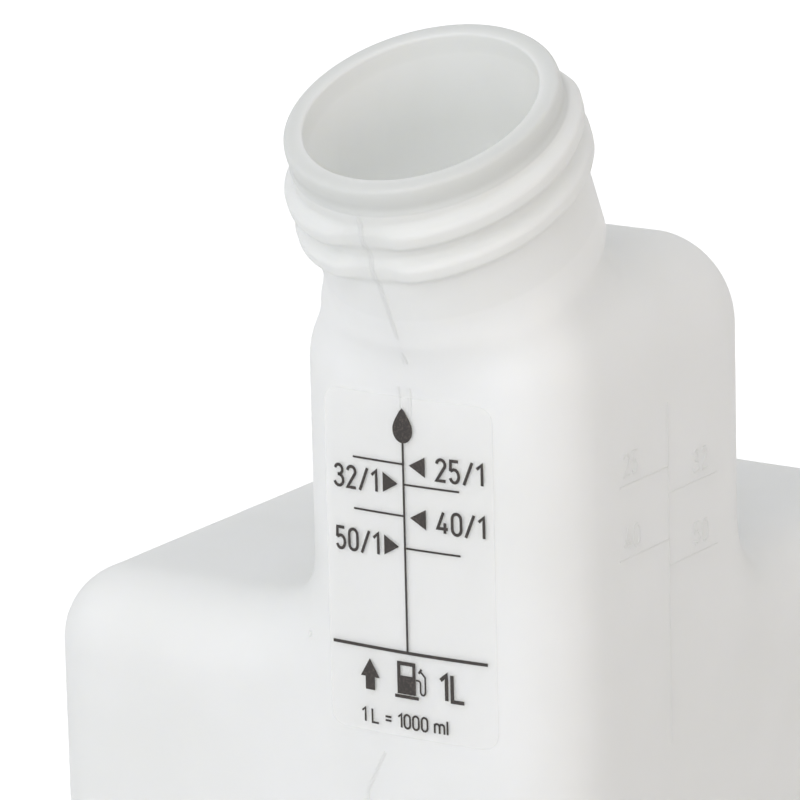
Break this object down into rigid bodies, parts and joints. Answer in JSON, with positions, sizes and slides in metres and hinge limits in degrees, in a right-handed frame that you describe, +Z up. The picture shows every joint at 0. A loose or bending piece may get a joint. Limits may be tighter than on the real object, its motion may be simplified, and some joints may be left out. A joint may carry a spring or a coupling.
{
  "type": "fuel mixing bottle",
  "caption": "Square blown plastic mixing bottle with an open threaded neck leaning forward from a measuring tower, and a clear scale label on the tower.",
  "frame": {"origin": "centre of the bounding box, on the table", "axes": "+Z up, -Y out of the front of the tower, where the label is and to which the mouth leans, +X to the tower's side"},
  "size_m": [0.081, 0.1142, 0.2122],
  "materials": {
    "natural_plastic": "milky natural polyethylene, blown, soft waxy sheen",
    "label_film": "clear film with dark printed scale marks"
  },
  "bodies": {
    "root": {"bottle": "natural_plastic", "scale_label": "label_film"}
  },
  "joints": []
}
